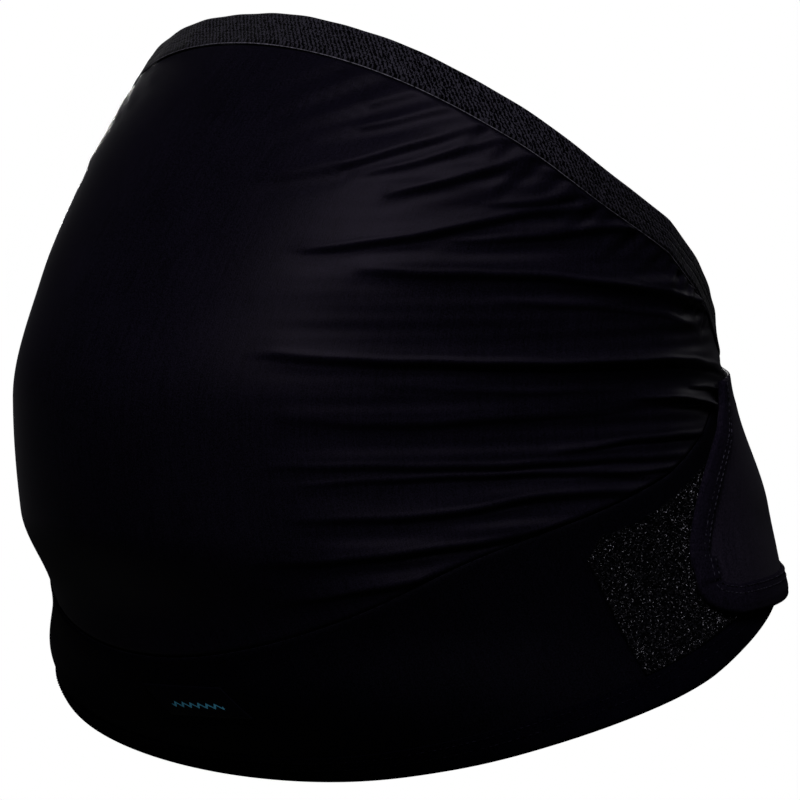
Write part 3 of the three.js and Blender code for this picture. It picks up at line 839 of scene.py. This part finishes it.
# Back band
# A doubled cloth band round the back, a separate half of the belt. Each end is a rounded
# tab that laps over a wing, and it bulges a little between its sewn edges.
tab_thickness = 0.0015
hook_gap = 0.0002
hook_thickness = 0.0008
hook_inner = patch_inner + patch_thickness + hook_gap
tab_inner = hook_inner + hook_thickness + hook_gap
tab_outer = tab_inner + tab_thickness
back_foot_level = 0.076
back_top_level = 0.376
tab_puff = 0.0005
wing_settle = 0.0010
tip_depth = 0.0013
top_lean = 0.0016
back_fold = 0.0006

# Edge of a tab from its foot, round its lower corner and up its front edge: step along
# the edge, turn, and level as a share of belt_height.
tab_rows = {
    "step": [0, 0.05, 0.10, 0.17, 0.28, 0.43, 0.58, 0.72, 0.84, 0.93, 1],
    "turn": [100.5, 95.5, 92.3, 90.9, 91.0, 93.1, 97.0, 102.5, 108.0, 111.3, 112.5],
    "level": [0.062, 0.069, 0.083, 0.106, 0.140, 0.188, 0.236, 0.280, 0.314, 0.341, 0.364],
}


def tab_edge(step):
    """Turn and height on the edge of a tab."""
    turn = table_curve(tab_rows["step"], tab_rows["turn"], step)
    return turn, belt_height * table_curve(tab_rows["step"], tab_rows["level"], step)


def tab_inset(step, distance):
    """The edge's place moved in along the cloth, square to the edge's own direction."""
    turn, height = tab_edge(step)
    turn_before, height_before = tab_edge(np.maximum(0, step - 0.02))
    turn_after, height_after = tab_edge(np.minimum(1, step + 0.02))
    degrees = turn_per_metre(turn, height)
    along = (turn_after - turn_before) / degrees
    up = height_after - height_before
    length = np.hypot(along, up)
    return turn + distance * up * degrees / length, height - distance * along / length


def back_settle(turn):
    """Past the loop patches the back band settles onto the wings, and past the wings' ends onto the body,
    each by a smooth step of the turn."""
    onto_wing = smooth_step((turn - 116) / 24)
    onto_body = smooth_step((turn - wing_end - 3) / (180 - wing_end - 3))
    return -wing_settle * onto_wing - (tab_inner - cloth_gap - tape_thickness - wing_settle) * onto_body


def tip_settle(step):
    """Above the loop patch a tab's upper end settles onto the wing, by a smooth step along the edge."""
    return -tip_depth * smooth_step((step - 0.76) / 0.20)


def back_spot(step, distance, share):
    """Place in from a tab's edge at a step, then a share of the way to the middle of the back."""
    edge_turn, edge_at = tab_inset(step, distance)
    levels = tab_rows["level"][-1] - tab_rows["level"][0]
    up = (table_curve(tab_rows["step"], tab_rows["level"], step) - tab_rows["level"][0]) / levels
    foot = back_foot_level * belt_height + distance
    spine = foot + (back_top_level * belt_height - foot) * up
    turn = edge_turn + (180 - edge_turn) * share
    return turn, edge_at + (spine - edge_at) * share


def back_place(u, v):
    """Back band: mirrored halves from each tab's edge to the middle of the back. It bulges towards the
    middle of its height, leans in at the top behind the tips and has slow upright folds at the back."""
    share = 1 - np.abs(2 * u - 1)
    turn, height = back_spot(v, tape_thickness + cloth_gap, share)
    swollen = np.clip((share - 0.045) * 20, 0, 1) * np.clip((v - 0.12) * 6, 0, 1) * np.clip((1 - v) * 5, 0, 1)
    fold = back_fold * np.sin(turn * 0.35 + 3 * v) * np.clip((turn - 125) / 20, 0, 1)
    leaning = np.minimum(tip_settle(v), -top_lean * v * np.clip((turn - 112) / 24, 0, 1))
    lift = back_settle(turn) + tab_puff * np.sin(0.5 * np.pi * swollen) + fold + leaning
    return np.where(u < 0.5, turn, 360 - turn), height, lift


tab_columns = np.concatenate([np.arange(0, 0.05, 0.0015), np.arange(0.05, 0.5, 0.006), [0.5]])
back_columns = np.concatenate([tab_columns, 1 - tab_columns[-2::-1]])
back_band = cloth_piece("back_band_cloth", back_place, back_columns, 90, tab_inner, tab_outer, back_rows=30)
# Its colour is several times lighter than the front band's cloth: painted light where the lights fall on the
# tabs.
back_cloth_painted_light = cloth_material(
    "back_cloth_painted_light", dark=(0.0003, 0.0002, 0.0008), light=(0.0056, 0.0044, 0.0082),
    rib_pitch=0.0014, rib_depth=0.00008, grain=0.0006, roughness=0.6, sheen=0.008, gloss=0.003)
back_band.data.materials.append(back_cloth_painted_light)
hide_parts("back_band")
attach(back_band, "root")

# Tab tapes and back hem tape
# A folded tape runs up the front edge of each tab. Another goes along the lower edge of
# the back band and round both lower corners, over the foot of the first. Both have two
# rows of stitches near their inner edge.
tab_tape_width = 0.010
back_tape_width = 0.0125
tab_corner_step = 0.28
tab_tape_overlap = 0.04
tip_taper = 0.85
taper_start = 0.74
back_share_of_path = 0.72


def tab_tape_inset(share, distance, side):
    """Point in from a tab's front edge, from above its lower corner to its top, where the tape tapers."""
    start = tab_corner_step - tab_tape_overlap
    step = start + (1 - start) * share
    taper = 1 - tip_taper * np.clip((share - taper_start) / (1 - taper_start), 0, 1) ** 1.5
    turn, height = tab_inset(step, distance * taper)
    return side * turn, height, tip_settle(step) + 0 * turn


def back_hem_inset(share, distance):
    """Point in from the back band's lower edge: the outer parts of the path go round the two corners,
    and the middle part runs from one tab's foot round the back to the other's."""
    near = 1 - np.abs(2 * share - 1)
    corner_part = 1 - back_share_of_path
    step = np.clip(tab_corner_step * (1 - near / corner_part), 0, 1)
    along = np.clip((near - corner_part) / back_share_of_path, 0, 1)
    turn, height = back_spot(step, distance, along)
    over_tab_tape = tape_thickness * np.clip(6 * step / tab_corner_step - 3, 0, 1)
    return np.where(share < 0.5, turn, 360 - turn), height, back_settle(turn) + over_tab_tape


tab_stitch_lines = (0.0085, 0.0060)
back_stitch_lines = (0.0110, 0.0082)
tab_tape_puff = 0.0006
tab_outer_face = tab_outer + tape_gap + tape_thickness + tab_tape_puff
# The tab thread and the tape of the tabs and back hem are lighter than the front hem's thread and tape:
# painted light on the tabs.
tab_thread_painted_light = thread_material("tab_thread_painted_light", (0.0080, 0.0074, 0.0110))
tab_tape_painted_light = cloth_material(
    "tab_tape_painted_light", dark=(0.0003, 0.0002, 0.0008), light=(0.0032, 0.0025, 0.0050),
    rib_pitch=0.0009, rib_depth=0.00008, grain=0.0006, roughness=0.5, sheen=0.004, gloss=0.0)
for hip, side in (("left", 1), ("right", -1)):
    front_edge = lambda share, distance: tab_tape_inset(share, distance, side)
    tape = tape_piece(f"tab_tape_{hip}", front_edge, 90, tab_tape_width, tab_inner, tab_outer, tab_tape_puff)
    tape.data.materials.append(tab_tape_painted_light)
    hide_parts(f"tab_binding_{hip}")
    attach(tape, "root")
    rows = [stitch_places(front_edge, line, tab_outer_face) for line in tab_stitch_lines]
    stitch_piece(f"tab_stitches_{hip}", rows, tab_thread_painted_light)

back_tape = tape_piece(
    "back_hem_tape", back_hem_inset, 420, back_tape_width, tab_inner, tab_outer, tab_tape_puff)
back_tape.data.materials.append(tab_tape_painted_light)
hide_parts("back_hem_binding")
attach(back_tape, "root")
back_rows = [stitch_places(back_hem_inset, line, tab_outer_face) for line in back_stitch_lines]
stitch_piece("back_hem_stitches", back_rows, tab_thread_painted_light)

# Hook pads
# A pad of hook fastener is sewn inside each tab, where the tab hides it. It presses on
# the loop patch and has the hooks' fine rough face.
pad_first_step = 0.19
pad_last_step = 0.58
pad_first_share = 0.06
pad_last_share = 0.25
pad_inset = 0.0015


def pad_place(u, v, side):
    """Hook pad: between two steps of the tab's edge and two shares of the way to the middle of the back."""
    step = pad_first_step + (pad_last_step - pad_first_step) * v
    share = pad_first_share + (pad_last_share - pad_first_share) * u
    turn, height = back_spot(step, pad_inset, share)
    return side * turn, height, back_settle(turn)


hook_face = fastener_material("hook_face", dark=(0.0002, 0.0002, 0.0003), light=(0.004, 0.004, 0.005))
for hip, side in (("left", 1), ("right", -1)):
    pad = cloth_piece(
        f"hook_pad_{hip}_face", lambda u, v: pad_place(u, v, side), 40, 40,
        hook_inner, hook_inner + hook_thickness)
    pad.data.materials.append(hook_face)
    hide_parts(f"hook_pad_{hip}")
    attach(pad, "root")

# Studio
# The belt is held up as if worn, well above a plain dark floor. Large soft lights stand
# over and beside it, and the camera looks from the front left of the wearer.
floor_radius = 1.6
floor_height = -1.0
light_aim = np.array([0, 0, 0.1])
rim_turns = np.linspace(0, math.tau, 97)[:-1]
floor_points = np.stack([floor_radius * np.cos(rim_turns), floor_radius * np.sin(rim_turns),
                         floor_height + 0 * rim_turns], -1)
floor_mesh = bpy.data.meshes.new("floor")
floor_mesh.from_pydata(floor_points.tolist(), [], [tuple(range(len(rim_turns)))])
floor = bpy.data.objects.new("floor", floor_mesh)
bpy.context.scene.collection.objects.link(floor)
floor_paint, _, floor_shader = start_material("floor_paint")
floor_shader.inputs["Base Color"].default_value = (0.05, 0.05, 0.05, 1)
floor_shader.inputs["Roughness"].default_value = 0.9
floor_mesh.materials.append(floor_paint)

world = bpy.data.worlds.new("studio")
bpy.context.scene.world = world
world.use_nodes = True
sky = world.node_tree
backdrop = sky.nodes["Background"]
backdrop.inputs["Color"].default_value = (1, 1, 1, 1)
backdrop.inputs["Strength"].default_value = 1.0
walls = add_node(sky, "ShaderNodeBackground", {"Color": (1, 1, 1, 1), "Strength": 0.02})
seen = add_node(sky, "ShaderNodeLightPath")
blend = add_node(sky, "ShaderNodeMixShader", {0: seen.outputs["Is Camera Ray"]})
sky.links.new(walls.outputs[0], blend.inputs[1])
sky.links.new(backdrop.outputs[0], blend.inputs[2])
sky.links.new(blend.outputs[0], sky.nodes["World Output"].inputs["Surface"])


def soft_light(name, width, height, power, azimuth, elevation, distance):
    """An oblong area light at a direction and distance from the belt's middle, turned towards it."""
    data = bpy.data.lights.new(name, "AREA")
    data.shape = "RECTANGLE"
    data.size = width
    data.size_y = height
    data.energy = power
    lamp = bpy.data.objects.new(name, data)
    bpy.context.scene.collection.objects.link(lamp)
    a, e = math.radians(azimuth), math.radians(elevation)
    place = np.array([math.sin(a) * math.cos(e), -math.cos(a) * math.cos(e), math.sin(e)]) * distance
    lamp.location = place + light_aim
    lamp.rotation_euler = (math.radians(90 - elevation), 0, a)


soft_light("key_light", 0.5, 1.5, 68, 36, 48, 2.0)
soft_light("hip_light", 0.6, 0.6, 13, 92, 60, 1.8)
soft_light("left_rim_light", 0.4, 0.9, 62, -124, 16, 1.6)
soft_light("right_rim_light", 0.6, 0.6, 6, 172, 30, 1.6)

camera_azimuth = math.radians(50.3)
camera_elevation = math.radians(5.3)
camera_distance = 2.75
aim = np.array([0, 0, 0.081])
look_at = np.array([-0.0118, -0.0108, 0.1047])
towards_camera = np.array([
    math.sin(camera_azimuth) * math.cos(camera_elevation),
    -math.cos(camera_azimuth) * math.cos(camera_elevation), math.sin(camera_elevation)])
camera_data = bpy.data.cameras.new("camera")
camera_data.sensor_width = 36
camera_data.lens = 277.0
camera = bpy.data.objects.new("camera", camera_data)
bpy.context.scene.collection.objects.link(camera)
camera.location = aim + camera_distance * towards_camera
view_line = look_at - np.array(camera.location)
tilt = math.atan2(math.hypot(view_line[0], view_line[1]), -view_line[2])
camera.rotation_euler = (tilt, 0, math.atan2(-view_line[0], view_line[1]))
bpy.context.scene.camera = camera
bpy.context.scene.view_settings.view_transform = "Standard"
